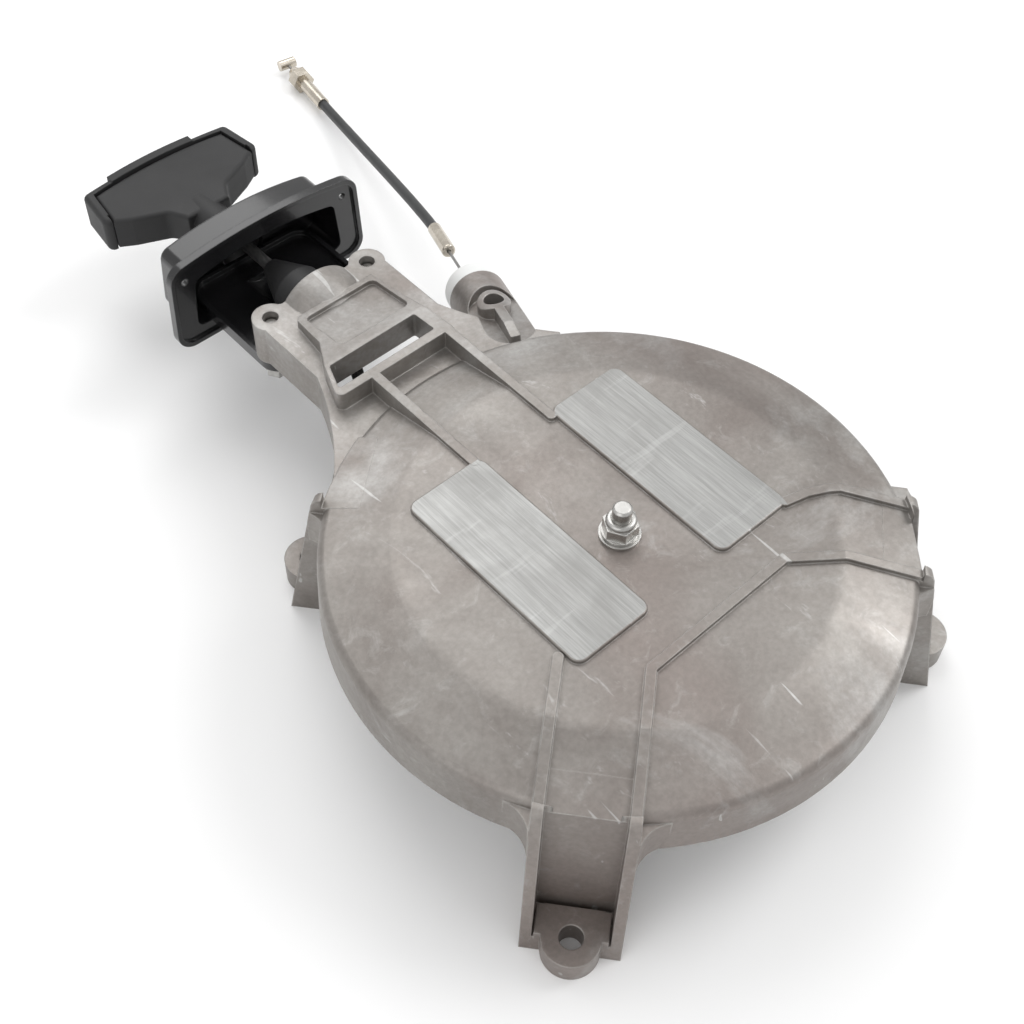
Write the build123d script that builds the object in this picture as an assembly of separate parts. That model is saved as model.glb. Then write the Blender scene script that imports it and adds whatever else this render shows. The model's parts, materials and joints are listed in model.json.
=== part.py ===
from build123d import *
import os
from math import asin, atan2, cos, degrees, pi, radians, sin, sqrt, tan

# Recoil starter of an outboard-size engine: cast case on three legs, rope drum on a spindle bolt,
# T-handle on a rope that leaves through the neck, and a cable-worked interlock plunger in the side arm.
# Millimetres. The origin is on the spindle axis, level with the undersides of the three feet.
# +Z is up, +Y runs along the neck towards the pull handle.

os.makedirs("parts", exist_ok=True)

# ---- case ----
SKIRT_R = 120.0          # outside radius of the skirt at its open rim
EDGE_R = 119.0           # radius of the top outer edge
FLAT_R = 88.0            # radius where the flat top turns into the cone
SKIRT_Z = 52.0           # height of the open rim above the feet
EDGE_Z = 74.0
TOP_Z = 81.0
WALL = 4.0
ROOT_R = 14.0            # concave radius between a leg and the skirt
LEG_TOP = 78.6           # top corner of each leg
PAD_X_NEAR = -35.5       # the two label pads
PAD_X_FAR = 42.0
PAD_Y = 15.5
PAD_WIDTH = 39.0
PAD_LENGTH = 98.5
PAD_H = 1.9              # label pads stand this far above the top
RIB_TOP = 83.0
RIB_T = 4.2

LEG_AZ = 220.0           # direction of the single front leg, counter-clockwise from +X
LEG_W = 39.0
LEG_WALL = 4.5
LEG_FOOT = 139.7         # how far the leg reaches at the foot
LEG_SHOULDER = 124.0     # and at its top corner
SIDE_LEG_SHIFT = -19.5   # the two side legs stand this far behind the spindle axis
SIDE_LEG_TURN = 8.1      # their outer ends and feet are square to a radius, not to their walls
FOOT_T = 12.0
FOOT_HOLE_R = 4.75
EAR_AT = 138.0
SIDE_EAR_AT = 135.0
EAR_R = 11.7

NECK_HALF = 34.2
NECK_TOP = 73.5
NECK_END = 196.0
HUMP_END_Z = 77.5        # height of the window frame's far end
LUG_X = 27.5
LUG_Y = 192.5
LUG_R = 8.5
VAULT_R = 21.6
VAULT_END = 196.0

# ---- interlock arm ----
ARM_AZ = 67.2
ARM_TILT = 13.0          # the arm falls away outwards by this angle
ARM_END_R = 173.5
ARM_END_Z = 49.5
ARM_R = 13.9
ARM_BORE_R = 6.05
ARM_INNER = -79.0        # inner end of the arm, measured along its axis from its outer end
BOSS_AT = -26.0

PLUNGER_TIP = -84.3

# ---- interlock cable ----
WIRE_R = 0.75
SHEATH_R = 2.75
FERRULE_START = 46.0
FAR_END = (134.5, 374.0) # where the sheath ends at its far fitting
FAR_Z = 6.3

# ---- rope and drum ----
ROPE_R = 2.9
ROPE_Z = 59.25
SPINDLE_R = 4.0
BOLT_HEAD_Z = 44.0
STUD_TOP = 98.0
PAWL_R = 34.0            # the pawl's pivot stands this far from the axis
KNOT_AZ = 250.0
BEND_Y = 176.0           # the rope bends into line with the neck here
BEND_R = 36.0
ROPE_SPLIT = 188.0       # inside the guide, where the rope that pays out begins
SPRING_Z = 66.6
SPRING_H = 8.6
PLATE_Z = 47.2
PAWL_Z = 49.6
PAWL_T = 2.7
COIL_IN = 50.2
COIL_OUT = 80.0
DRUM_R = 90.0
FLANGE_R = 80.0          # the upper flange, which carries the lock teeth on its edge
TOOTH_H = 10.0
DRUM_BOTTOM = 52.5
GROOVE = (55.5, 63.0)    # heights of the rope groove's two sides
NOTCHES = 12
NOTCH_W = 16.0
SLEEVE_R = 9.0
BUSH_R = 11.5

# ---- handle ----
HOUSING_FACE = 233.0     # back of the housing's flange
HOUSING_FRONT = 257.7
STEM_START = 259.0
STEM_R = 10.5
GRIP_Z = 55.0
GRIP_FRONT = 323.5
GRIP_ARCH = 3.2
GRIP_HALF = 8.8          # half the grip's thickness
HANDLE_SEAT = 284.0
TRAY_HALF = 34.5
TRAY_BOTTOM = 45.2
TRAY_END = 184.5


def polar(radius, azimuth):
    a = radians(azimuth)
    return radius * cos(a), radius * sin(a)


def turned_frame(azimuth, shift=0.0):
    """Plane with its X pointing outwards at an azimuth, moved sideways, level with the feet."""
    side = radians(azimuth + 90)
    return Plane(
        origin=(shift * cos(side), shift * sin(side), 0),
        x_dir=(cos(radians(azimuth)), sin(radians(azimuth)), 0),
        z_dir=(0, 0, 1),
    )


# each leg: the frame of its side walls, the frame of its outer end and foot, how much shorter it is,
# and how far out its fixing hole stands
FRONT_LEG = turned_frame(LEG_AZ)
LEGS = [
    (FRONT_LEG, FRONT_LEG, 0.0, EAR_AT),
    (turned_frame(LEG_AZ + 90, -SIDE_LEG_SHIFT), turned_frame(LEG_AZ + 90 + SIDE_LEG_TURN), 1.8, SIDE_EAR_AT),
    (turned_frame(LEG_AZ - 90, SIDE_LEG_SHIFT), turned_frame(LEG_AZ - 90 - SIDE_LEG_TURN), 1.8, SIDE_EAR_AT),
]


def upright(frame):
    """Vertical plane through a leg's centreline: X outwards, Y up."""
    return Plane(origin=frame.origin, x_dir=frame.x_dir, z_dir=-frame.y_dir)


def revolved(points, fillets=()):
    """Solid of revolution about Z from (radius, height) points; fillets is (corner, radius) pairs."""
    face = make_face(Polyline(points, close=True))
    for corner, radius in fillets:
        near = face.vertices().sort_by_distance(corner)[0]
        face = fillet(near, radius)
    return revolve(Plane.XZ * face, Axis.Z)


def rounded_slab(width, length, low, high, corner, edge=0.0):
    slab = extrude(RectangleRounded(width, length, corner), high - low)
    if edge:
        slab = fillet(slab.edges().group_by(Axis.Z)[-1], edge)
    return Pos(0, 0, low) * slab


def rib(points, thickness=RIB_T, top=RIB_TOP, low=62.0):
    """Upright rib along a line of plan points, with rounded top edges."""
    solid = None
    for a, b in zip(points, points[1:]):
        run = Vector(b) - Vector(a)
        piece = extrude(Rectangle(run.length + thickness, thickness), top - low)
        piece = fillet(piece.edges().filter_by(Axis.Z), thickness * 0.49)
        middle = (Vector(a) + Vector(b)) / 2
        angle = degrees(atan2(run.Y, run.X))
        piece = Pos(middle.X, middle.Y, low) * Rot(0, 0, angle) * piece
        solid = piece if solid is None else solid + piece
    return solid


def foot_pad(end, reach, hole_at, low, high, inner):
    """The raised pad on the foot: a rectangle that runs into a round ear with concave corners."""
    pad = Pos(126.4 + 6.0 - reach, 0) * Rectangle(12.0, inner)
    neck_width = 2 * EAR_R
    plan = pad + Pos(hole_at - 6, 0) * Rectangle(12, neck_width) + Pos(hole_at, 0) * Circle(EAR_R)
    return end * Pos(0, 0, low) * extrude(plan, high - low)


def leg_block(walls, end, reach, hole_at):
    """The leg's outer form: two walls, a back wall and a foot, all in one block."""
    slab = Pos(128, 0, 40) * Box(48, LEG_W, 100)
    return (leg_wedge(end, reach) & walls * slab) + foot_pad(end, reach, hole_at, 0, FOOT_T, LEG_W - 2 * LEG_WALL - 1.6)


def leg_pocket(walls, end, reach, hole_at):
    """The open channel between a leg's two walls, down to the foot."""
    inner = LEG_W - 2 * LEG_WALL
    back = make_face(
        Polyline(
            (119.3, 110), (119.3, EDGE_Z - 1), (124.4 - reach, FOOT_T - 4), (170, FOOT_T - 4), (170, 110), close=True
        )
    )
    pocket = extrude(upright(end) * back, LEG_W, both=True)
    slab = Pos(140, 0, 60) * Box(60, inner, 120)
    pocket = pocket & walls * slab
    return pocket - foot_pad(end, reach, hole_at, 0, FOOT_T, inner - 1.6)


def leg_root(walls, end, reach):
    """Concave blend between a leg's sides and the skirt."""
    plan = Circle(EDGE_R + 0.6) + Pos(75, 0) * Rectangle(110, LEG_W)
    corner = (sqrt(EDGE_R**2 - (LEG_W / 2) ** 2), LEG_W / 2)
    for side in (1, -1):
        near = plan.vertices().sort_by_distance((corner[0], side * corner[1]))[0]
        plan = fillet(near, ROOT_R)
    block = Pos(0, 0, SKIRT_Z) * extrude(plan, LEG_TOP - 8 - SKIRT_Z)
    reach_of_blend = 2 * (LEG_W / 2 + ROOT_R) * SKIRT_R / (SKIRT_R + ROOT_R)
    cut = Pos(111.5, 0, 0) * Box(30, reach_of_blend, 200)
    return walls * (block & cut) & leg_wedge(end, reach)


def leg_wedge(end, reach):
    """A wide wedge with the outer end of a leg: it leans outwards to the foot."""
    foot = LEG_FOOT - reach
    shoulder = LEG_SHOULDER - reach
    side = make_face(Polyline((90, 0), (foot, 0), (shoulder, LEG_TOP), (90, LEG_TOP), close=True))
    side = fillet(side.vertices().sort_by_distance((shoulder, LEG_TOP))[0], 4.5)
    return extrude(upright(end) * side, LEG_W + 4, both=True)


def neck_outline(inset, end):
    """Plan of the neck: parallel sides that flare in an arc into the round case."""
    half = NECK_HALF - inset
    right = [(63.5 - inset, 101.0 - inset), (42.5 - inset, 131.5 - inset), (half, 150.0)]
    arc_right = ThreePointArc(*right)
    arc_left = ThreePointArc(*[(-x, y) for x, y in right])
    lines = (
        Line((half, 150.0), (half, end))
        + Line((half, end), (-half, end))
        + Line((-half, end), (-half, 150.0))
        + Line(right[0], (50.0, 70.0))
        + Line((50.0, 70.0), (-50.0, 70.0))
        + Line((-50.0, 70.0), (-right[0][0], right[0][1]))
    )
    return make_face(arc_right + arc_left + lines)


def arm_frame():
    """Frame of the interlock arm: X outwards along its axis, Z square to it and up."""
    x, y = polar(ARM_END_R, ARM_AZ)
    out = Vector(*polar(cos(radians(ARM_TILT)), ARM_AZ), -sin(radians(ARM_TILT)))
    up = Vector(*polar(sin(radians(ARM_TILT)), ARM_AZ), cos(radians(ARM_TILT)))
    return Plane(origin=(x, y, ARM_END_Z), x_dir=out, z_dir=up)


ARM = arm_frame()


def arm_rod(radius, start, end):
    """Round bar on the arm's axis between two distances from the arm's outer end."""
    axis = Plane(origin=ARM.origin, x_dir=ARM.y_dir, z_dir=ARM.x_dir)
    return axis * Pos(0, 0, start) * Cylinder(radius, end - start, align=(Align.CENTER, Align.CENTER, Align.MIN))


def arm_point(distance):
    return ARM.from_local_coords(Vector(distance, 0, 0))


def end_edge(solid, point):
    """The round edge nearest to a point."""
    return solid.edges().filter_by(GeomType.CIRCLE).sort_by_distance(point)[0]


def y_rod(radius, start, end, z=ROPE_Z, x=0.0):
    """Round bar along Y."""
    bar = Cylinder(radius, end - start, align=(Align.CENTER, Align.CENTER, Align.MIN))
    return Pos(x, start, z) * Rot(-90, 0, 0) * bar


def z_rod(radius, low, high, x=0.0, y=0.0):
    return Pos(x, y, low) * Cylinder(radius, high - low, align=(Align.CENTER, Align.CENTER, Align.MIN))


def sky(rise):
    """Everything higher than a surface that follows the top of the case at a given rise."""
    return revolved(
        [
            (0, TOP_Z + rise),
            (FLAT_R, TOP_Z + rise),
            (EDGE_R + 1, EDGE_Z + rise),
            (EDGE_R + 1, NECK_TOP),
            (260, NECK_TOP),
            (260, 120),
            (0, 120),
        ]
    )


def make_case():
    shell = revolved(
        [(0, SKIRT_Z), (SKIRT_R, SKIRT_Z), (EDGE_R, EDGE_Z), (FLAT_R, TOP_Z), (0, TOP_Z)],
        [((EDGE_R, EDGE_Z), 4.0), ((FLAT_R, TOP_Z), 20.0)],
    )
    inside = [(0, -1), (SKIRT_R - WALL, -1), (EDGE_R - WALL, EDGE_Z - 3.2)]
    cavity = revolved(
        inside + [(FLAT_R - 1, TOP_Z - WALL), (0, TOP_Z - WALL)],
        [((EDGE_R - WALL, EDGE_Z - 3.2), 3.0)],
    )
    body = shell
    for walls, end, reach, hole_at in LEGS:
        body += leg_root(walls, end, reach)
        body += leg_block(walls, end, reach, hole_at)
        body -= leg_pocket(walls, end, reach, hole_at)
    body -= leg_crowns()
    above_neck = Pos(0, 0, NECK_TOP) * extrude(neck_outline(0, NECK_END), 30)
    body -= above_neck - z_rod(EDGE_R + 0.1, 0, 120)
    body += neck()
    body += case_ribs() - z_rod(FLAT_R + 60, 0, EDGE_Z - 6)
    for x in (PAD_X_NEAR, PAD_X_FAR):
        body += Pos(x, PAD_Y, 0) * rounded_slab(PAD_WIDTH, PAD_LENGTH, TOP_Z - 2, TOP_Z + PAD_H, 4.5, 0.7)
    body -= cavity
    body -= neck_cavity()
    body += arm_rod(ARM_R, ARM_INNER, 0) - sky(-1.0)
    body -= arm_pocket()
    body -= arm_rod(ARM_BORE_R, ARM_INNER - 5, 1)
    for walls, end, reach, hole_at in LEGS:
        body -= end * z_rod(FOOT_HOLE_R, -1, FOOT_T + 1, hole_at)
    # spring arbor, with the slot that holds the inner end of the rewind spring, and the spindle seat
    arbor = z_rod(18, 66.2, TOP_Z - 1) - z_rod(15, 66, TOP_Z - WALL)
    arbor -= Pos(16.5, 0, 66) * Box(8, 2.4, 8, align=(Align.CENTER, Align.CENTER, Align.MIN))
    body += arbor
    body -= z_rod(SPINDLE_R + 0.2, 60, TOP_Z + 5)
    return body


def leg_crowns():
    """The part of the leg blocks that stands above the case's top between each leg's walls."""
    cover = sky(0.0) & z_rod(EDGE_R + 0.9, TOP_Z - 12, 110)
    slab = Pos(100, 0, 60) * Box(60, LEG_W + 2, 60)
    crown = None
    for walls, end, reach, hole_at in LEGS:
        piece = cover & walls * slab
        crown = piece if crown is None else crown + piece
    return crown


def case_ribs():
    """Ribs on the top of the case: two to the neck, the leg walls, and the bent rib between two legs."""
    half = LEG_W / 2 - LEG_WALL / 2
    far = -SIDE_LEG_SHIFT + half
    near = -SIDE_LEG_SHIFT - half

    def plan(u, w):
        point = FRONT_LEG.from_local_coords(Vector(u, w, 0))
        return point.X, point.Y

    neck_ribs = rib([(-19.5, 64), (-19.5, 129)]) + rib([(21.3, 62), (21.3, 129)])
    ribs = rib([plan(61, -half), plan(LEG_SHOULDER - 6, -half)])
    ribs += rib([plan(LEG_SHOULDER - 6, half), plan(60.5, half), plan(3, 64.5), plan(-near, 89), plan(-near, 118)])
    ribs += rib([plan(-25, 64), plan(-31, 72.5), plan(-far, 86), plan(-far, 116.5)])
    return ribs - sky(RIB_TOP - TOP_Z) + neck_ribs


def neck():
    """The neck: a flat roof with a window frame that rises towards the case, lugs and a vault."""
    roof = extrude(Pos(0, 0, SKIRT_Z) * neck_outline(0, NECK_END), NECK_TOP - SKIRT_Z)
    for x in (-LUG_X, LUG_X):
        roof += z_rod(LUG_R, SKIRT_Z, NECK_TOP, x, LUG_Y)
    roof = fillet(roof.edges().filter_by(Axis.Z).group_by(Axis.Y)[-1], 3.0)
    # window frame: level at the case, sloping down towards the vault, with a sunk panel behind the window
    outer = [(-40, 127.3), (24.0, 127.3), (21.5, 158), (20.8, 181), (-22.0, 181), (-24.5, 160), (-32.5, 146)]
    hump = extrude(Pos(0, 0, SKIRT_Z) * make_face(Polyline(outer, close=True)), RIB_TOP - SKIRT_Z)
    slope = make_face(Polyline((100, 0), (100, RIB_TOP), (146, RIB_TOP), (183, HUMP_END_Z), (183, 0), close=True))
    hump = hump & extrude(Plane.YZ * slope, 60, both=True)
    posts = hump.edges().filter_by(Axis.Z)
    hump = fillet(posts.sort_by_distance((-40, 127.3, 70))[0:1] + posts.sort_by_distance((-22, 181, 70))[0:1], 3.0)
    panel = Pos(0, 164.5, 0) * rounded_slab(38.5, 26.5, 40, 100, 3.0)
    tilt = Plane(origin=(0, 146, RIB_TOP - 2.6), x_dir=(1, 0, 0), z_dir=(0, RIB_TOP - HUMP_END_Z, 183 - 146))
    hump -= panel & tilt * Box(200, 200, 40, align=(Align.CENTER, Align.CENTER, Align.MIN))
    vault = y_rod(VAULT_R, LUG_Y - VAULT_R, VAULT_END, 60)
    vault = fillet(end_edge(vault, (0, LUG_Y - VAULT_R, 60)), VAULT_R - 1.5)
    vault = vault & Pos(0, 190, SKIRT_Z) * Box(60, 60, 60, align=(Align.CENTER, Align.CENTER, Align.MIN))
    return roof + hump + vault


def neck_cavity():
    """Everything that is hollow in the neck: rope channel, window, rope guide seat and bolt holes."""
    hollow = extrude(Pos(0, 0, SKIRT_Z - 1) * neck_outline(WALL + 0.5, 178.0), NECK_TOP - WALL - SKIRT_Z + 1)
    window = make_face(Polyline((-31.0, 144.4), (16.2, 144.7), (17.0, 131.8), (-36.0, 131.4), close=True))
    window = fillet(window.vertices(), 1.2)
    hollow += extrude(Pos(0, 0, SKIRT_Z - 1) * window, 40)
    hollow += y_rod(13.0, 170, 215)
    for x in (-LUG_X, LUG_X):
        hollow += z_rod(3.05, SKIRT_Z - 1, NECK_TOP + 1, x, LUG_Y)
        hollow += z_rod(3.7, NECK_TOP - 6, NECK_TOP + 1, x, LUG_Y)
    return hollow


def arm_pocket():
    """Casting pocket round the arm's boss, open towards the case, and the boss's own hole."""
    floor = 7.3
    slot = Pos(BOSS_AT - 11, 0, floor) * extrude(SlotCenterToCenter(22, 24), 12)
    boss = Pos(BOSS_AT, 0, 0) * Cylinder(7.8, 40)
    web = Pos(BOSS_AT - 15, 0, 0) * Box(30, 4.6, 40)
    hole = Pos(BOSS_AT, 0, 0) * Cylinder(FOOT_HOLE_R, 20, align=(Align.CENTER, Align.CENTER, Align.MIN))
    return ARM * ((slot - boss - web) + hole)


def arc_top_panel(bottom_half, top_half, bottom, top, rise, corner):
    """Upright panel outline in XZ: straight foot and sides, arched top, rounded corners."""
    lines = (
        Line((-top_half, top), (-bottom_half, bottom))
        + Line((-bottom_half, bottom), (bottom_half, bottom))
        + Line((bottom_half, bottom), (top_half, top))
        + ThreePointArc((top_half, top), (0, top + rise), (-top_half, top))
    )
    face = make_face(lines)
    return fillet(face.vertices(), corner)


def along_y(face, start, end):
    """Extrude an XZ outline from one Y to another."""
    solid = extrude(face, end - start)
    return Pos(0, end, 0) * Rot(90, 0, 0) * solid


def hex_prism(across_flats, low, high, radius_top=0.0):
    prism = extrude(RegularPolygon(across_flats / 2, 6, major_radius=False), high - low)
    if radius_top:
        cone = Cone(across_flats * 0.5 + radius_top, across_flats * 0.5 + 0.2, high - low)
        prism = prism & Pos(0, 0, (high - low) / 2) * cone
    return Pos(0, 0, low) * prism


def coil(radius, wire, pitch, turns):
    """Wire helix about Z with its middle at the origin."""
    height = pitch * turns
    path = Helix(pitch, height, radius)
    start = Plane(origin=path @ 0, z_dir=path % 0)
    return Pos(0, 0, -height / 2) * sweep(start * Circle(wire), path=path, is_frenet=True)


def spiral_path(inner, outer, half_turns, z):
    """Flat spiral of half circles whose centres alternate about the Z axis."""
    step = (outer - inner) / half_turns
    arcs = []
    radius = inner + step / 2
    x = step / 2
    point = Vector(x + radius, 0, z)
    for index in range(half_turns):
        sign = 1 if index % 2 == 0 else -1
        centre = x * sign
        far = Vector(centre - sign * radius, 0, z)
        middle = Vector(centre, sign * radius, z)
        arcs.append(ThreePointArc(point, middle, far))
        point = far
        radius += step
    return Wire(arcs)


def spiral_strip(inner, outer, half_turns, thickness):
    """Flat spiral strip, seen from above, made of half rings whose centres alternate about the Z axis."""
    step = (outer - inner) / half_turns
    strip = None
    for index in range(half_turns):
        sign = 1 if index % 2 == 0 else -1
        radius = inner + step / 2 + index * step
        ring = Circle(radius + thickness / 2) - Circle(radius - thickness / 2)
        half = Pos(0, sign * outer) * Rectangle(4 * outer, 2 * outer)
        piece = Pos(sign * step / 2, 0) * ring & half
        strip = piece if strip is None else strip + piece
    return strip


def write(name, shape):
    solids = shape.solids()
    volume = sum(solid.volume for solid in solids)
    print(f"{name:22s} solids {len(solids):2d}  volume {volume:10.1f}  valid {shape.is_valid}")
    export_step(Compound(solids) if len(solids) > 1 else solids[0], f"parts/{name}.step")


# ---- case and spindle ----
write("starter_case", make_case())

bolt = z_rod(SPINDLE_R, BOLT_HEAD_Z, STUD_TOP)
bolt = chamfer(bolt.edges().group_by(Axis.Z)[-1], 0.9)
bolt += hex_prism(13, BOLT_HEAD_Z - 5.3, BOLT_HEAD_Z)
write("centre_bolt", bolt)

nut = hex_prism(13, TOP_Z + 1.7, TOP_Z + 8.2) + z_rod(7.6, TOP_Z + 1.7, TOP_Z + 3.0)
collar = z_rod(6.2, TOP_Z + 8.0, TOP_Z + 10.6)
collar = fillet(collar.edges().group_by(Axis.Z)[-1], 1.5)
nut = nut + collar - z_rod(SPINDLE_R + 0.02, TOP_Z, TOP_Z + 12)
write("centre_nut", nut)
write("top_washer", z_rod(8.6, TOP_Z, TOP_Z + 1.6) - z_rod(SPINDLE_R + 0.2, TOP_Z - 1, TOP_Z + 3))

# the sleeve is clamped between the case top and the bolt head's washer; the drum turns on it
write("spindle_sleeve", z_rod(SLEEVE_R, BOLT_HEAD_Z + 2.0, TOP_Z - WALL) - z_rod(SPINDLE_R + 0.2, 40, 90))
write("bolt_washer", z_rod(12.5, BOLT_HEAD_Z, BOLT_HEAD_Z + 1.9) - z_rod(SPINDLE_R + 0.2, 40, 90))

# ---- rope drum ----
drum = z_rod(DRUM_R, DRUM_BOTTOM, GROOVE[0]) + z_rod(COIL_IN - 0.2, DRUM_BOTTOM, GROOVE[1] + 3)
drum += z_rod(FLANGE_R, GROOVE[1], GROOVE[1] + 3)
drum += z_rod(72.0, GROOVE[1], 75.2) - z_rod(68.0, GROOVE[1] + 3, 80)
for index in range(6):
    window = Pos(34, 0, 40) * extrude(RectangleRounded(17, 14, 5), 40)
    drum -= Rot(0, 0, 30 + index * 60) * window
drum -= z_rod(44, 56.5, GROOVE[1] + 4) - z_rod(17.5, 50, 80) - z_rod(7.0, 50, 62.5, PAWL_R, 0)
drum += z_rod(72.0, 52.5, 54.0) - z_rod(46.5, 52, 55)
# spring hook post, pawl boss and rope anchor pocket
drum += z_rod(3.0, GROOVE[1] + 2, 74.5, 63.6, 0)
drum -= z_rod(BUSH_R, 40, 90)
drum -= z_rod(3.25, 50, 64, PAWL_R, 0)
knot_x, knot_y = polar(COIL_IN - 7.5, KNOT_AZ)
drum -= z_rod(6.4, GROOVE[0], 80, knot_x, knot_y)
lead = Rot(0, 0, KNOT_AZ) * Pos(COIL_IN - 5, 0, ROPE_Z) * Rot(0, 90, 0) * Cylinder(ROPE_R + 0.3, 12)
drum -= lead
write("rope_drum", drum)

# lock teeth round the drum's rim, one gap of which always faces the plunger at rest
gap = Pos(FLANGE_R + 8, 0) * Rectangle(40, NOTCH_W)
rim = Circle(DRUM_R) - Circle(FLANGE_R)
for index in range(NOTCHES):
    rim -= Rot(0, 0, ARM_AZ + index * 360 / NOTCHES) * gap
write("lock_teeth", Pos(0, 0, GROOVE[1]) * extrude(rim, TOOTH_H))
bush = z_rod(BUSH_R, DRUM_BOTTOM - 1.0, GROOVE[1] + 3) - z_rod(SLEEVE_R + 0.05, 40, 90)
write("drum_bush", bush)

# ---- rope ----
spiral = spiral_path(COIL_IN + ROPE_R + 0.1, COIL_OUT - 6.3 - ROPE_R, 7, ROPE_Z)
start = Plane(origin=spiral @ 0, z_dir=spiral % 0)
write("rope_coil", sweep(start * Circle(ROPE_R), path=spiral))
knot = Pos(knot_x, knot_y, ROPE_Z) * Sphere(5.6)
knot = knot & z_rod(5.9, GROOVE[0] + 0.2, ROPE_Z + 5, knot_x, knot_y)
write("rope_drum_knot", knot)


def rope_run():
    """Rope from its outer turn on the drum, along the tangent and round the bend into the guide."""
    turn_r = COIL_OUT - ROPE_R
    lean = asin(turn_r / BEND_Y)
    leave = Vector(-turn_r * cos(lean), turn_r * sin(lean), ROPE_Z)
    back = radians(180 - degrees(lean) + 170)
    middle = radians(180 - degrees(lean) + 85)
    start = Vector(turn_r * cos(back), turn_r * sin(back), ROPE_Z)
    through = Vector(turn_r * cos(middle), turn_r * sin(middle), ROPE_Z)
    bend = BEND_R * tan(lean / 2)
    first = Vector(-bend * sin(lean), BEND_Y - bend * cos(lean), ROPE_Z)
    last = Vector(0, BEND_Y + bend, ROPE_Z)
    end = Vector(0, ROPE_SPLIT, ROPE_Z)
    turn = ThreePointArc(start, through, leave)
    run = Line(leave, first)
    curve = TangentArc(first, last, tangent=Vector(sin(lean), cos(lean), 0))
    path = Wire([turn, run, curve, Line(last, end)])
    plane = Plane(origin=path @ 0, z_dir=path % 0)
    print("rope run length", round(path.length, 1), "section area", round(pi * ROPE_R**2, 2))
    return sweep(plane * Circle(ROPE_R), path=path)


write("rope_inner_run", rope_run())
write("rope_outer_run", y_rod(ROPE_R, ROPE_SPLIT + 0.3, HANDLE_SEAT + 28))

# ---- rewind spring and its liner ----
spring = Pos(0, 0, SPRING_Z) * extrude(spiral_strip(19.0, 61.5, 22, 0.8), SPRING_H)
spring += Pos(18.45, 0, SPRING_Z + SPRING_H / 2) * Box(5.4, 0.8, SPRING_H - 2)
hook = z_rod(4.2, SPRING_Z, SPRING_Z + SPRING_H, 63.6, 0) - z_rod(3.3, SPRING_Z - 1, 90, 63.6, 0)
spring += hook
write("rewind_spring", spring)
write("spring_liner", z_rod(70, TOP_Z - WALL - 0.8, TOP_Z - WALL) - z_rod(18.2, 60, 90))

# ---- pawl and drive plate ----
pivot = Vector(PAWL_R, 0)
nose = make_face(Polyline((30.5, 2.0), (33.5, 21.5), (38.5, 21.5), (40.2, 16.0), (38.6, 0), close=True))
pawl = Pos(0, 0, PAWL_Z) * extrude(nose, PAWL_T) + z_rod(5.2, PAWL_Z, PAWL_Z + PAWL_T, PAWL_R, 0)
pawl = pawl - z_rod(3.25, 40, 60, PAWL_R, 0)
peg_x, peg_y = PAWL_R - 5.0, 8.66
pawl += z_rod(3.2, PAWL_Z, PAWL_Z + PAWL_T, peg_x, peg_y)
write("drive_pawl", pawl - z_rod(1.8, 40, 60, peg_x, peg_y))
write("pawl_peg", z_rod(1.8, PLATE_Z, PAWL_Z + PAWL_T, peg_x, peg_y))
pin = z_rod(3.2, PAWL_Z + 0.1, 62) + z_rod(2.2, 60, 62)
write("pawl_pin", Pos(PAWL_R, 0, 0) * pin)

plate = z_rod(41, PLATE_Z, PLATE_Z + 2.0)
plate -= z_rod(SLEEVE_R + 0.06, 40, 60)
slot_line = ThreePointArc((29.0, 8.66), (32.83, 1.2), (34.44, -8.34))
slot = trace(slot_line, 4.6) + Pos(29.0, 8.66) * Circle(2.3) + Pos(34.44, -8.34) * Circle(2.3)
plate -= Pos(0, 0, 40) * extrude(slot, 20)
for azimuth in (130, 220):
    x, y = polar(27, azimuth)
    plate -= z_rod(7, 40, 60, x, y)
write("drive_plate", plate)
write("plate_hub", z_rod(13, PLATE_Z + 2.0, PLATE_Z + 4.0) - z_rod(SLEEVE_R + 0.06, 40, 60))
write("plate_return_spring", Pos(0, 0, PLATE_Z + 3.6) * coil(14.2, 0.5, 1.2, 1.5))
write("plate_friction_ring", z_rod(12.2, BOLT_HEAD_Z + 2.0, PLATE_Z - 0.1) - z_rod(9.6, 40, 60))

# ---- rope guide, its housing and fixings ----
guide = y_rod(12.9, 178, 211) + Pos(0, 211, ROPE_Z) * Rot(-90, 0, 0) * Cone(
    12.9, 4.6, 20, align=(Align.CENTER, Align.CENTER, Align.MIN)
)
trumpet = Pos(0, 177, ROPE_Z) * Rot(-90, 0, 0) * Cone(9.5, 3.2, 9, align=(Align.CENTER, Align.CENTER, Align.MIN))
guide = guide - trumpet - y_rod(ROPE_R + 0.25, 170, 240)
write("rope_guide", guide)


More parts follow.
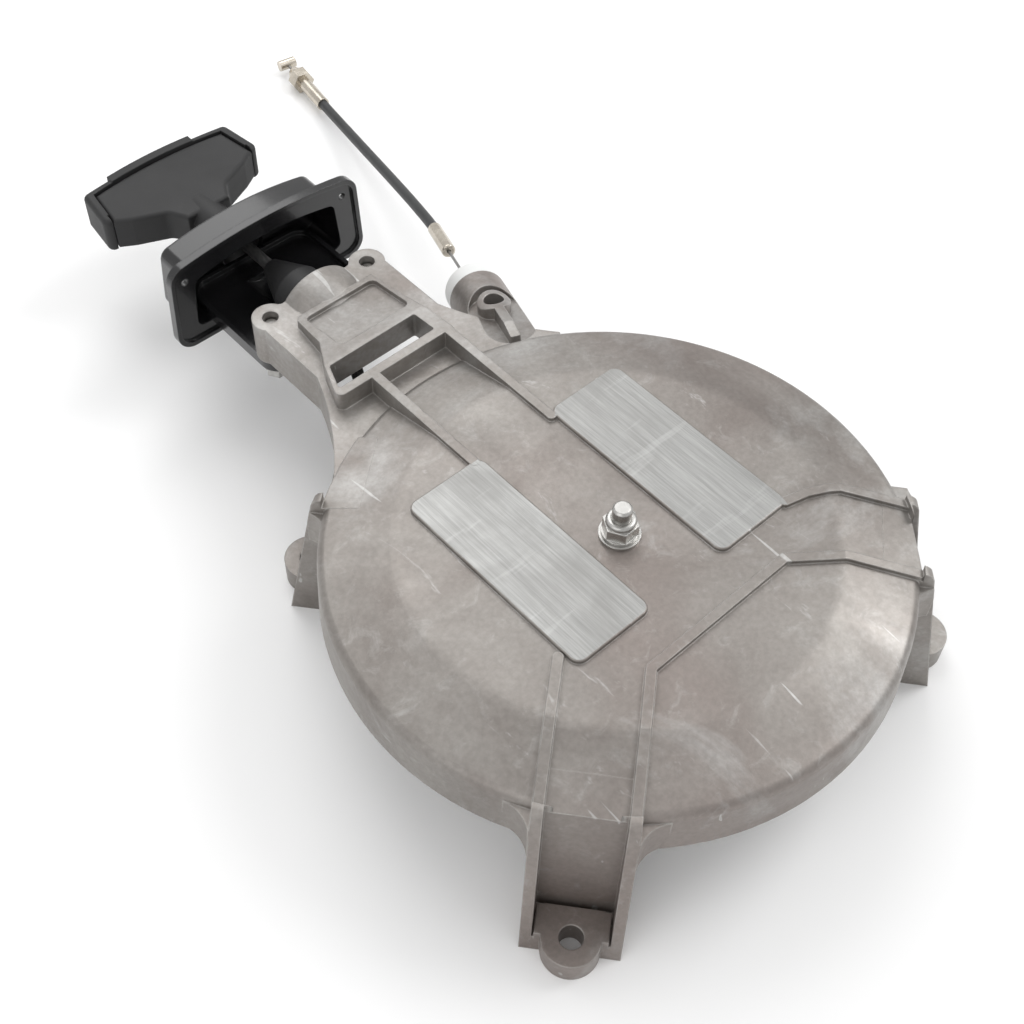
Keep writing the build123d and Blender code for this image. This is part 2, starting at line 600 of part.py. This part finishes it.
def make_housing():
    flange = along_y(arc_top_panel(55.0, 52.4, 38.0, 85.0, 5.0, 9.0), HOUSING_FACE, HOUSING_FACE + 2.6)
    lip = along_y(arc_top_panel(55.0, 52.4, 38.0, 85.0, 5.0, 9.0), HOUSING_FACE - 1.6, HOUSING_FACE + 1)
    lip -= along_y(arc_top_panel(52.8, 50.2, 40.2, 82.8, 5.0, 7.5), HOUSING_FACE - 3, HOUSING_FACE + 0.1)
    box = along_y(arc_top_panel(45.0, 42.4, 43.5, 76.0, 5.0, 6.0), HOUSING_FACE, HOUSING_FRONT)
    box = fillet(box.edges().group_by(Axis.Y)[-1], 1.6)
    body = flange + lip + box
    body -= along_y(arc_top_panel(42.4, 39.8, 46.0, 73.5, 5.0, 4.0), HOUSING_FACE - 5, HOUSING_FRONT - 2.6)
    body -= y_rod(STEM_R + 1.2, HOUSING_FRONT - 5, HOUSING_FRONT + 5, GRIP_Z)
    tray_plan = Pos(0, (TRAY_END + HOUSING_FRONT - 4) / 2) * RectangleRounded(
        2 * TRAY_HALF, HOUSING_FRONT - 4 - TRAY_END, 9.5
    )
    tray = Pos(0, 0, TRAY_BOTTOM) * extrude(tray_plan, SKIRT_Z - TRAY_BOTTOM)
    tray -= Pos(0, 0, SKIRT_Z - 2.5) * extrude(offset(tray_plan, -2.2), 5.0)
    for x in (-LUG_X, LUG_X):
        tray += z_rod(6.0, TRAY_BOTTOM, SKIRT_Z, x, LUG_Y)
    body += tray
    body -= y_rod(13.3, 170, 240)
    for x in (-LUG_X, LUG_X):
        body -= z_rod(3.2, 40, 60, x, LUG_Y)
    for x in (-45.0, 45.0):
        body -= y_rod(1.8, HOUSING_FACE - 1, HOUSING_FACE + 4, 76, x)
    return body


write("guide_housing", make_housing())
screws = None
for x in (-LUG_X, LUG_X):
    screw = z_rod(3.0, TRAY_BOTTOM - 1.5, NECK_TOP - 4, x, LUG_Y)
    screw += Pos(x, LUG_Y, 0) * hex_prism(10, TRAY_BOTTOM - 5.6, TRAY_BOTTOM - 1.5)
    screws = screw if screws is None else screws + screw
write("guide_screws", screws)
rings = None
for x in (-LUG_X, LUG_X):
    ring = z_rod(6.2, TRAY_BOTTOM - 1.5, TRAY_BOTTOM, x, LUG_Y) - z_rod(3.1, 40, 60, x, LUG_Y)
    rings = ring if rings is None else rings + ring
write("guide_washers", rings)

# ---- pull handle ----


def handle_plan(grow, front, back):
    """Plan of the grip: a bar across the rope, arched in front, running back into the stem."""
    half_front = 37.5 + grow
    half_back = 40.6 + grow
    lines = (
        Line((-half_back, back), (-half_front, front))
        + ThreePointArc((-half_front, front), (0, front + GRIP_ARCH), (half_front, front))
        + Line((half_front, front), (half_back, back))
        + Line((half_back, back), (-half_back, back))
    )
    return make_face(lines)


def make_grip():
    """Rubber bar of the handle with its stem, bored for the rope and its knot."""
    corners = [(-40.6, 302.0), (-33.0, 297.5), (-17.0, 290.5), (-12.0, 281.0)]
    corners += [(-x, y) for x, y in reversed(corners)]
    sides = [Line(a, b) for a, b in zip(corners, corners[1:])]
    front = ThreePointArc((-37.5, GRIP_FRONT), (0, GRIP_FRONT + GRIP_ARCH), (37.5, GRIP_FRONT))
    ends = [Line(corners[0], (-37.5, GRIP_FRONT)), Line(corners[-1], (37.5, GRIP_FRONT))]
    plan = make_face([*sides, *ends, front])
    plan = fillet(plan.vertices().group_by(Axis.Y)[1], 6.0)
    bar = Pos(0, 0, GRIP_Z - GRIP_HALF) * extrude(plan, 2 * GRIP_HALF)
    bar = fillet(bar.edges().group_by(Axis.Z)[-1] + bar.edges().group_by(Axis.Z)[0], 2.0)
    stem = Pos(0, STEM_START, GRIP_Z) * Rot(-90, 0, 0) * Cone(
        STEM_R, STEM_R - 1.2, 32, align=(Align.CENTER, Align.CENTER, Align.MIN)
    )
    foot = y_rod(STEM_R + 4.5, HOUSING_FRONT + 0.4, STEM_START + 2.5, GRIP_Z)
    body = bar + stem + fillet(foot.edges().group_by(Axis.Y)[-1], 1.8)
    body -= y_rod(ROPE_R + 0.25, 250, HANDLE_SEAT + 12, ROPE_Z)
    body -= y_rod(7.2, HANDLE_SEAT + 12, 340, GRIP_Z)
    return body


def make_cover():
    half = GRIP_HALF + 0.9
    block = Pos(0, 0, GRIP_Z - half) * extrude(handle_plan(4.6, GRIP_FRONT + 3.6, 302.0), 2 * half)
    block = fillet(block.edges().filter_by(Axis.Z), 3.5)
    block = fillet(block.edges().group_by(Axis.Z)[-1] + block.edges().group_by(Axis.Z)[0], 2.6)
    ridge_plan = handle_plan(0, GRIP_FRONT + 4.6, GRIP_FRONT + 1.5) & Pos(-2, GRIP_FRONT + 6) * Rectangle(48, 8)
    block += Pos(0, 0, GRIP_Z) * extrude(ridge_plan, half + 0.7)
    block -= Pos(0, 0, GRIP_Z - 20) * extrude(handle_plan(0.15, GRIP_FRONT + 0.15, 302.0), 40)
    return block - Pos(0, 302, GRIP_Z) * Box(82, 9, 40)


write("handle_grip", make_grip())
write("handle_cover", make_cover())
knot = Pos(0, HANDLE_SEAT + 20, GRIP_Z) * Sphere(6.8)
knot = knot & y_rod(6.6, HANDLE_SEAT + 14.2, HANDLE_SEAT + 25, GRIP_Z)
washer = y_rod(7.1, HANDLE_SEAT + 12.1, HANDLE_SEAT + 13.6, GRIP_Z) - y_rod(ROPE_R + 0.2, 250, 330, ROPE_Z)
write("handle_washer", washer)
knot = knot - y_rod(ROPE_R + 0.02, 250, HANDLE_SEAT + 28.1, ROPE_Z)
write("handle_knot", knot)

# ---- interlock plunger and its cap ----
plunger = arm_rod(ARM_BORE_R - 0.05, PLUNGER_TIP, -22)
plunger = fillet(end_edge(plunger, arm_point(PLUNGER_TIP)), 2.5)
plunger -= arm_rod(0.8, -30, -21)
write("interlock_plunger", plunger)
spring_frame = Plane(origin=arm_point(-11.9), x_dir=ARM.y_dir, z_dir=ARM.x_dir)
write("plunger_spring", spring_frame * coil(4.9, 0.6, 2.6, 7.0))
cap = arm_rod(13.7, 0, 10.1)
cap = fillet(end_edge(cap, arm_point(10.1)), 2.2)
cap += arm_rod(5.9, -1.6, 0.1)
cap -= arm_rod(1.0, -3, 12)
write("plunger_cap", cap)

# ---- interlock cable ----
CABLE_NEAR = arm_point(FERRULE_START + 22.0)
CABLE_FAR = Vector(*FAR_END, FAR_Z)
FAR_DIR = Vector(9.0, 55.0, 0).normalized()
NEAR_RUN = 16.0
LAST_BEND = 24.0
cable_points = [
    CABLE_NEAR,
    CABLE_NEAR + ARM.x_dir * NEAR_RUN,
    CABLE_FAR - FAR_DIR * LAST_BEND,
    CABLE_FAR,
]


def fillet_radii(points):
    """Bend radius at each inner point, from the shorter run beside it and half of its turn."""
    radii = []
    for before, here, after in zip(points, points[1:], points[2:]):
        turn = radians((here - before).get_angle(after - here))
        shorter = min((here - before).length, (after - here).length)
        radii.append(round(0.45 * shorter / tan(turn / 2), 1))
    return radii


radii = fillet_radii(cable_points)
cable_path = FilletPolyline(*cable_points, radius=radii)
cable_start = Plane(origin=cable_path @ 0, z_dir=cable_path % 0)
sheath = sweep(cable_start * (Circle(SHEATH_R) - Circle(1.05)), path=cable_path)
print("cable bend radii", radii, "length", round(cable_path.length, 1), "area", round(pi * (SHEATH_R**2 - 1.05**2), 3))
write("cable_sheath", sheath)

far_frame = Plane(origin=CABLE_FAR, x_dir=Vector(0, 0, 1), z_dir=FAR_DIR)


def far_rod(radius, start, end):
    return far_frame * Pos(0, 0, start) * Cylinder(radius, end - start, align=(Align.CENTER, Align.CENTER, Align.MIN))


ferrule = arm_rod(3.5, FERRULE_START, FERRULE_START + 25)
ferrule = fillet(end_edge(ferrule, arm_point(FERRULE_START)), 1.0)
ferrule -= arm_rod(SHEATH_R + 0.02, FERRULE_START + 22.0, FERRULE_START + 26)
ferrule -= arm_rod(1.05, 0, FERRULE_START + 30)
write("near_ferrule", ferrule)
write("cable_wire_near", arm_rod(WIRE_R, -24.5, FERRULE_START + 12))

adjuster = far_rod(3.7, -3.5, 20) + far_rod(3.0, 20, 31)
adjuster -= far_rod(SHEATH_R + 0.02, -5, 0)
adjuster -= far_rod(1.05, -1, 41)
write("cable_adjuster", adjuster)
nut = far_frame * Rot(0, 0, 30) * hex_prism(11.6, 20, 27)
nut += far_frame * Pos(0, 0, 27) * Cone(5.7, 3.6, 5.0, align=(Align.CENTER, Align.CENTER, Align.MIN))
write("adjuster_nut", nut - far_rod(3.02, 0, 50))
write("cable_wire_far", far_rod(WIRE_R, 12, 42))
nipple = far_frame * Pos(0, 0, 41.5) * Rot(90, 0, 0) * Cylinder(3.0, 10)
write("cable_nipple", nipple - far_rod(WIRE_R + 0.02, 30, 42.1))
static_wire = sweep(cable_start * Circle(WIRE_R), path=cable_path)
write("cable_wire_middle", static_wire)
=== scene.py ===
import json
import math

import bpy
from mathutils import Matrix, Vector


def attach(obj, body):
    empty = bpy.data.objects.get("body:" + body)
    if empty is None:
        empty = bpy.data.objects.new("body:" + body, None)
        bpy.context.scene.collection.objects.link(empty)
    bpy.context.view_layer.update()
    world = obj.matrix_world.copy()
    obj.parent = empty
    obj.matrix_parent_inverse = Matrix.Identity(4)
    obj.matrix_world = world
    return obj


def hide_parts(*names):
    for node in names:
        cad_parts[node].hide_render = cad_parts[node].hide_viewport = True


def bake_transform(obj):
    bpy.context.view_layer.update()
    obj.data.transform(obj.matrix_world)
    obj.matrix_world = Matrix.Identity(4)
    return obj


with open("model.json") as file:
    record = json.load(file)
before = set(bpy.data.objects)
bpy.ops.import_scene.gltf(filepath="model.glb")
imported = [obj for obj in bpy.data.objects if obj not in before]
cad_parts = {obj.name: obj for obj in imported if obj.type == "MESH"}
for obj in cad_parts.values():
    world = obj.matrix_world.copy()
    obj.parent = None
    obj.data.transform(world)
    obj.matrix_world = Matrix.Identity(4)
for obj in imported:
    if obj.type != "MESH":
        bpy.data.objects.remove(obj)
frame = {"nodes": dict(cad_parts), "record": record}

# Recoil starter: a weathered cast case with ribs, label pads and legs, a black pull handle
# in its housing, and a short interlock cable. Metres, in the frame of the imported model.

scene = bpy.context.scene
NODES = frame["nodes"]
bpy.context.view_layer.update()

# ---- camera ----
EYE = Vector((-0.2755, -0.2256, 0.5507))
AHEAD = Vector((0.4232, 0.4408, -0.7916))
UP = Vector((0.5226, 0.5949, 0.6107))
LENS = 52.61
SENSOR = 36.0

back = -AHEAD.normalized()
right = UP.cross(back).normalized()
upward = back.cross(right)
camera_data = bpy.data.cameras.new("camera")
camera_data.lens = LENS
camera_data.sensor_width = SENSOR
camera = bpy.data.objects.new("camera", camera_data)
camera.matrix_world = Matrix.Translation(EYE) @ Matrix((right, upward, back)).transposed().to_4x4()
scene.collection.objects.link(camera)
scene.camera = camera

# ---- interlock cable ----
SHEATH_R = 0.00275
SHEATH_ROUTE = [
    (0.092910, 0.221023, 0.034203),
    (0.098951, 0.235394, 0.030604),
    (0.130624, 0.350315, 0.0063),
    (0.134500, 0.374000, 0.0063),
]


def smooth_cord(name, route, radius):
    """Round cord along one NURBS spline whose control points are the route's points."""
    curve = bpy.data.curves.new(name, "CURVE")
    curve.dimensions = "3D"
    curve.bevel_depth = 1.0  # each point carries the cord's radius
    curve.bevel_resolution = 8
    curve.use_fill_caps = True
    curve.resolution_u = 24
    spline = curve.splines.new("NURBS")
    spline.points.add(len(route) - 1)
    for point, place in zip(spline.points, route):
        point.co = (*place, 1.0)
        point.radius = radius
    spline.order_u = 3
    spline.use_endpoint_u = True
    piece = bpy.data.objects.new(name, curve)
    scene.collection.objects.link(piece)
    return piece


sheath = smooth_cord("sheath_jacket", SHEATH_ROUTE, SHEATH_R)
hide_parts("cable_sheath")
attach(sheath, "case")

# ---- pull rope, which pays out between the guide and the handle ----
ROPE_R = 0.0029
ROPE_Z = 0.05925
ROPE_FROM = 0.1883
ROPE_TO = 0.312
ROPE_STRANDS = 8
ROPE_AROUND = 32
ROPE_RINGS = 240
STRAND_PITCH = 0.016
STRAND_DEPTH = 0.00028


def braided_rope():
    """Rope as a mesh tube with twisted strands standing out of its surface."""
    verts = []
    for ring in range(ROPE_RINGS + 1):
        y = ROPE_FROM + (ROPE_TO - ROPE_FROM) * ring / ROPE_RINGS
        twist = 2 * math.pi * (y - ROPE_FROM) / STRAND_PITCH
        for side in range(ROPE_AROUND):
            angle = 2 * math.pi * side / ROPE_AROUND
            lobe = abs(math.sin(ROPE_STRANDS / 2 * angle + twist))
            radius = ROPE_R - STRAND_DEPTH * (1 - lobe) ** 1.5
            verts.append((radius * math.cos(angle), y, ROPE_Z + radius * math.sin(angle)))
    faces = []
    for ring in range(ROPE_RINGS):
        low = ring * ROPE_AROUND
        for side in range(ROPE_AROUND):
            after = (side + 1) % ROPE_AROUND
            faces.append((low + side, low + side + ROPE_AROUND, low + after + ROPE_AROUND, low + after))
    faces.append(tuple(range(ROPE_AROUND)))
    last = ROPE_RINGS * ROPE_AROUND
    faces.append(tuple(last + side for side in reversed(range(ROPE_AROUND))))
    mesh = bpy.data.meshes.new("pull_rope")
    mesh.from_pydata(verts, [], faces)
    mesh.validate()
    for polygon in mesh.polygons:
        polygon.use_smooth = len(polygon.vertices) == 4
    piece = bpy.data.objects.new("pull_rope", mesh)
    scene.collection.objects.link(piece)
    return piece


rope = braided_rope()
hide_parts("rope_outer_run")
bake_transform(rope)


# ---- materials ----
class Net:
    """Small helper that adds and joins shader nodes."""

    def __init__(self, name):
        self.material = bpy.data.materials.new(name)
        self.material.use_nodes = True
        self.tree = self.material.node_tree
        self.shader = self.tree.nodes["Principled BSDF"]
        self.place = self.add("ShaderNodeTexCoord").outputs["Object"]

    def add(self, kind, **values):
        node = self.tree.nodes.new(kind)
        for key, value in values.items():
            setattr(node, key, value)
        return node

    def join(self, output, socket):
        self.tree.links.new(output, socket)

    def scaled(self, factors, turn=(0, 0, 0)):
        """Position on the object, stretched and turned."""
        mapping = self.add("ShaderNodeMapping")
        mapping.inputs["Scale"].default_value = factors
        mapping.inputs["Rotation"].default_value = turn
        self.join(self.place, mapping.inputs["Vector"])
        return mapping.outputs["Vector"]

    def noise(self, scale, detail=4.0, rough=0.55, warp=0.0, vector=None):
        node = self.add("ShaderNodeTexNoise")
        node.inputs["Scale"].default_value = scale
        node.inputs["Detail"].default_value = detail
        node.inputs["Roughness"].default_value = rough
        node.inputs["Distortion"].default_value = warp
        self.join(vector or self.place, node.inputs["Vector"])
        return node.outputs["Fac"]

    def ramp(self, value, low, high, start=0.0, end=1.0):
        """A value between low and high, spread over start to end."""
        node = self.add("ShaderNodeMapRange")
        node.inputs["From Min"].default_value = low
        node.inputs["From Max"].default_value = high
        node.inputs["To Min"].default_value = start
        node.inputs["To Max"].default_value = end
        self.join(value, node.inputs["Value"])
        return node.outputs["Result"]

    def mix(self, factor, first, second):
        """Colour between first and second, each a colour or a socket."""
        node = self.add("ShaderNodeMix", data_type="RGBA")
        self.join(factor, node.inputs["Factor"])
        for entry, socket in ((first, node.inputs[6]), (second, node.inputs[7])):
            if isinstance(entry, tuple):
                socket.default_value = (*entry, 1.0)
            else:
                self.join(entry, socket)
        return node.outputs[2]

    def combine(self, operation, first, second):
        """Arithmetic on two entries, each a number or a socket."""
        node = self.add("ShaderNodeMath", operation=operation)
        for entry, socket in ((first, node.inputs[0]), (second, node.inputs[1])):
            if isinstance(entry, (int, float)):
                socket.default_value = entry
            else:
                self.join(entry, socket)
        return node.outputs[0]

    def rounded(self, radius):
        """Surface direction with its edges rounded off."""
        node = self.add("ShaderNodeBevel")
        node.samples = 4
        node.inputs["Radius"].default_value = radius
        return node.outputs["Normal"]

    def worn_edges(self, rounded, low, high):
        """1 on edges and 0 on flats, from how far the rounded direction turns away."""
        geometry = self.add("ShaderNodeNewGeometry")
        dot = self.add("ShaderNodeVectorMath", operation="DOT_PRODUCT")
        self.join(rounded, dot.inputs[0])
        self.join(geometry.outputs["Normal"], dot.inputs[1])
        return self.ramp(dot.outputs["Value"], low, high, 1.0, 0.0)

    def relief(self, height, depth, strength=1.0, normal=None):
        node = self.add("ShaderNodeBump")
        node.inputs["Strength"].default_value = strength
        node.inputs["Distance"].default_value = depth
        self.join(height, node.inputs["Height"])
        if normal is not None:
            self.join(normal, node.inputs["Normal"])
        return node.outputs["Normal"]

    def finish(self, colour, rough, normal, metallic, coat=0.0, coat_rough=0.1):
        shader = self.shader
        shader.inputs["Metallic"].default_value = metallic
        shader.inputs["Coat Weight"].default_value = coat
        shader.inputs["Coat Roughness"].default_value = coat_rough
        self.join(colour, shader.inputs["Base Color"])
        self.join(rough, shader.inputs["Roughness"])
        self.join(normal, shader.inputs["Normal"])
        return self.material


def cast_metal():
    """Raw die-cast aluminium gone grey-brown, with stains, pale scuffs, fine grit and worn edges."""
    net = Net("cast_metal")
    cloud = net.noise(15.0, 6.0, 0.62, 0.7)
    bloom = net.noise(8.5, 7.0, 0.68, 1.1)
    speck = net.noise(420.0, 3.0, 0.6)
    fleck = net.noise(95.0, 5.0, 0.7, 0.8)
    tint = net.noise(5.5, 2.0, 0.5, 0.4, net.scaled((1.0, 1.0, 1.0), (0.3, 0.2, 1.1)))
    colour = net.mix(net.ramp(cloud, 0.34, 0.66), (0.222, 0.200, 0.184), (0.330, 0.312, 0.292))
    colour = net.mix(net.ramp(tint, 0.46, 0.64, 0.0, 0.55), colour, (0.270, 0.222, 0.204))
    colour = net.mix(net.ramp(bloom, 0.53, 0.68, 0.0, 0.62), colour, (0.455, 0.450, 0.440))
    colour = net.mix(net.ramp(fleck, 0.56, 0.74, 0.0, 0.45), colour, (0.44, 0.43, 0.415))
    streak = net.noise(34.0, 5.0, 0.75, 1.6, net.scaled((1.0, 0.32, 1.0), (0, 0, 0.6)))
    colour = net.mix(net.ramp(streak, 0.63, 0.71, 0.0, 0.7), colour, (0.52, 0.51, 0.50))
    scratch = net.noise(26.0, 2.0, 0.5, 0.0, net.scaled((9.0, 0.5, 3.0), (0, 0, -0.75)))
    colour = net.mix(net.ramp(scratch, 0.715, 0.735, 0.0, 0.6), colour, (0.60, 0.60, 0.59))
    colour = net.mix(net.ramp(speck, 0.35, 0.65, 0.0, 0.20), colour, (0.11, 0.10, 0.09))
    rounded = net.rounded(0.0009)
    worn = net.worn_edges(rounded, 0.86, 0.992)
    patchy = net.ramp(net.noise(60.0, 4.0, 0.7), 0.36, 0.62, 0.2, 0.95)
    colour = net.mix(net.combine("MULTIPLY", worn, patchy), colour, (0.56, 0.545, 0.52))
    rough = net.ramp(net.noise(18.0, 5.0, 0.6, 0.6), 0.3, 0.7, 0.34, 0.56)
    height = net.combine("ADD", speck, net.combine("MULTIPLY", fleck, 0.7))
    normal = net.relief(height, 0.00012, 0.5, rounded)
    return net.finish(colour, rough, normal, 0.72)


def ground_metal():
    """The label pads: cut flat, so paler, with fine lines along the pad."""
    net = Net("ground_pad")
    lines = net.noise(900.0, 3.0, 0.7, 0.0, net.scaled((1.0, 0.035, 1.0)))
    cross = net.noise(160.0, 3.0, 0.6, 0.0, net.scaled((0.12, 1.0, 1.0)))
    cloud = net.noise(22.0, 5.0, 0.6, 0.5)
    colour = net.mix(net.ramp(lines, 0.3, 0.7), (0.27, 0.27, 0.262), (0.40, 0.40, 0.39))
    colour = net.mix(net.ramp(cloud, 0.45, 0.7, 0.0, 0.5), colour, (0.25, 0.245, 0.235))
    colour = net.mix(net.ramp(cross, 0.6, 0.72, 0.0, 0.35), colour, (0.50, 0.50, 0.49))
    rounded = net.rounded(0.0007)
    rough = net.ramp(cloud, 0.3, 0.7, 0.34, 0.5)
    normal = net.relief(lines, 0.00006, 0.5, rounded)
    return net.finish(colour, rough, normal, 0.78)


def plain(name, tone, second, metallic, rough, patch, grain, depth, wear=None, coat=0.0, soften=0.0006):
    """A finish with cloudy tone and gloss, fine grain in its relief, and paler worn edges when a wear colour is
    given.
    """
    net = Net(name)
    cloud = net.noise(patch, 5.0, 0.6, 0.4)
    fine = net.noise(grain, 4.0, 0.6)
    colour = net.mix(net.ramp(cloud, 0.35, 0.65), tone, second)
    rounded = net.rounded(soften)
    if wear is not None:
        worn = net.worn_edges(rounded, 0.85, 0.99)
        chips = net.ramp(net.noise(patch * 4, 4.0, 0.7), 0.4, 0.65, 0.1, 0.8)
        colour = net.mix(net.combine("MULTIPLY", worn, chips), colour, wear)
    gloss = net.ramp(cloud, 0.3, 0.7, rough[0], rough[1])
    normal = net.relief(fine, depth, 0.6, rounded)
    return net.finish(colour, gloss, normal, metallic, coat)


def turned_rope():
    """Dark braided rope with a lay that follows its length."""
    net = Net("rope_fibre")
    yarn = net.noise(700.0, 4.0, 0.7, 0.0, net.scaled((1.0, 0.3, 1.0), (0.5, 0, 0.4)))
    colour = net.mix(net.ramp(yarn, 0.35, 0.65), (0.018, 0.018, 0.019), (0.055, 0.054, 0.052))
    rough = net.ramp(yarn, 0.3, 0.7, 0.75, 0.92)
    normal = net.relief(yarn, 0.0002, 0.7)
    return net.finish(colour, rough, normal, 0.0)


# tone and second tone, how metallic, lowest and highest roughness, then the scale of the clouds,
# the scale of the grain and its depth in metres
MATERIALS = {
    "cast": cast_metal(),
    "machined": plain(
        "machined_steel", (0.36, 0.35, 0.335), (0.47, 0.46, 0.44), 0.95, (0.24, 0.38), 60, 900, 0.00004
    ),
    "zinc": plain(
        "zinc_plate", (0.40, 0.395, 0.38), (0.56, 0.55, 0.53), 1.0, (0.22, 0.4), 130, 1100, 0.00005,
        wear=(0.66, 0.65, 0.63),
    ),
    "steel": plain(
        "mild_steel", (0.24, 0.235, 0.23), (0.34, 0.335, 0.325), 0.95, (0.3, 0.45), 80, 900, 0.00005,
        wear=(0.5, 0.49, 0.48),
    ),
    "spring_steel": plain(
        "spring_steel", (0.13, 0.135, 0.15), (0.22, 0.22, 0.23), 0.95, (0.26, 0.4), 90, 1000, 0.00003,
        wear=(0.4, 0.4, 0.4),
    ),
    "nickel": plain(
        "warm_nickel", (0.50, 0.455, 0.39), (0.63, 0.58, 0.50), 1.0, (0.16, 0.3), 150, 1200, 0.00003,
        wear=(0.72, 0.68, 0.6),
    ),
    "bronze": plain(
        "bronze", (0.42, 0.27, 0.12), (0.52, 0.35, 0.17), 0.95, (0.3, 0.45), 120, 1200, 0.00005
    ),
    "gloss_black": plain(
        "gloss_black_moulding", (0.0065, 0.0065, 0.007), (0.011, 0.011, 0.012), 0.0, (0.16, 0.28), 24, 650,
        0.00005, wear=(0.035, 0.035, 0.036), coat=0.35, soften=0.0009,
    ),
    "rubber": plain(
        "matt_black_rubber", (0.0115, 0.0115, 0.012), (0.018, 0.018, 0.0185), 0.0, (0.5, 0.66), 30, 1500,
        0.00012, wear=(0.04, 0.04, 0.041), soften=0.0010,
    ),
    "nylon": plain(
        "white_nylon", (0.72, 0.73, 0.72), (0.80, 0.80, 0.79), 0.0, (0.36, 0.5), 60, 900, 0.00004, soften=0.0008
    ),
    "sheath": plain(
        "cable_jacket", (0.019, 0.020, 0.021), (0.034, 0.035, 0.036), 0.0, (0.34, 0.5), 70, 1400, 0.00006
    ),
    "rope": turned_rope(),
}
PAD_MATERIAL = ground_metal()

SLOT_OF = {entry["node"]: entry["material_slot"] for entry in frame["record"]["subparts"]}

for name, node in NODES.items():
    node.data.materials.clear()
    node.data.materials.append(MATERIALS[SLOT_OF[name]])
sheath.data.materials.append(MATERIALS["sheath"])
rope.data.materials.append(MATERIALS["rope"])

# the ground tops of the two label pads
PAD_TOP = 0.0829
PAD_X = (-0.0355, 0.042)
PAD_Y = 0.0155
PAD_HALF = (0.0196, 0.0494)
PAD_TOLERANCE = 0.0002
UPWARD = 0.99
case = NODES["starter_case"]
case.data.materials.append(PAD_MATERIAL)
for polygon in case.data.polygons:
    centre = polygon.center
    flat = polygon.normal.z > UPWARD and abs(centre.z - PAD_TOP) < PAD_TOLERANCE
    beside_pad = min(abs(centre.x - x) for x in PAD_X)
    if flat and abs(centre.y - PAD_Y) < PAD_HALF[1] and beside_pad < PAD_HALF[0]:
        polygon.material_index = 1

# ---- floor, world and lights ----
FLOOR_HALF = 4.0
floor_mesh = bpy.data.meshes.new("floor")
floor_mesh.from_pydata(
    [
        (-FLOOR_HALF, -FLOOR_HALF, 0),
        (FLOOR_HALF, -FLOOR_HALF, 0),
        (FLOOR_HALF, FLOOR_HALF, 0),
        (-FLOOR_HALF, FLOOR_HALF, 0),
    ],
    [],
    [(0, 1, 2, 3)],
)
floor = bpy.data.objects.new("floor", floor_mesh)
scene.collection.objects.link(floor)
floor_paint = bpy.data.materials.new("floor_paint")
floor_paint.use_nodes = True
floor_shader = floor_paint.node_tree.nodes["Principled BSDF"]
floor_shader.inputs["Base Color"].default_value = (0.93, 0.93, 0.93, 1)
floor_shader.inputs["Roughness"].default_value = 0.9
floor_shader.inputs["Specular IOR Level"].default_value = 0.1
floor_mesh.materials.append(floor_paint)

world = bpy.data.worlds.new("studio")
world.use_nodes = True
world.node_tree.nodes["Background"].inputs["Color"].default_value = (1.0, 1.0, 1.0, 1)
world.node_tree.nodes["Background"].inputs["Strength"].default_value = 0.78
scene.world = world

# name, place, what it points at, diameter and power in watts
LIGHTS = [
    ("key", (0.35, 0.95, 1.25), (0.0, 0.05, 0.05), 1.1, 7.0),
    ("fill", (-1.2, -0.2, 1.1), (0.0, 0.05, 0.05), 1.3, 4.0),
    ("sheen", (0.95, -0.25, 1.15), (0.05, -0.05, 0.05), 0.7, 6.5),
]
for name, place, target, size, power in LIGHTS:
    lamp_data = bpy.data.lights.new(name, "AREA")
    lamp_data.shape = "DISK"
    lamp_data.size = size
    lamp_data.energy = power
    lamp = bpy.data.objects.new(name, lamp_data)
    lamp.location = place
    lamp.rotation_euler = (Vector(target) - Vector(place)).to_track_quat("-Z", "Y").to_euler()
    scene.collection.objects.link(lamp)
scene.view_settings.view_transform = "Standard"
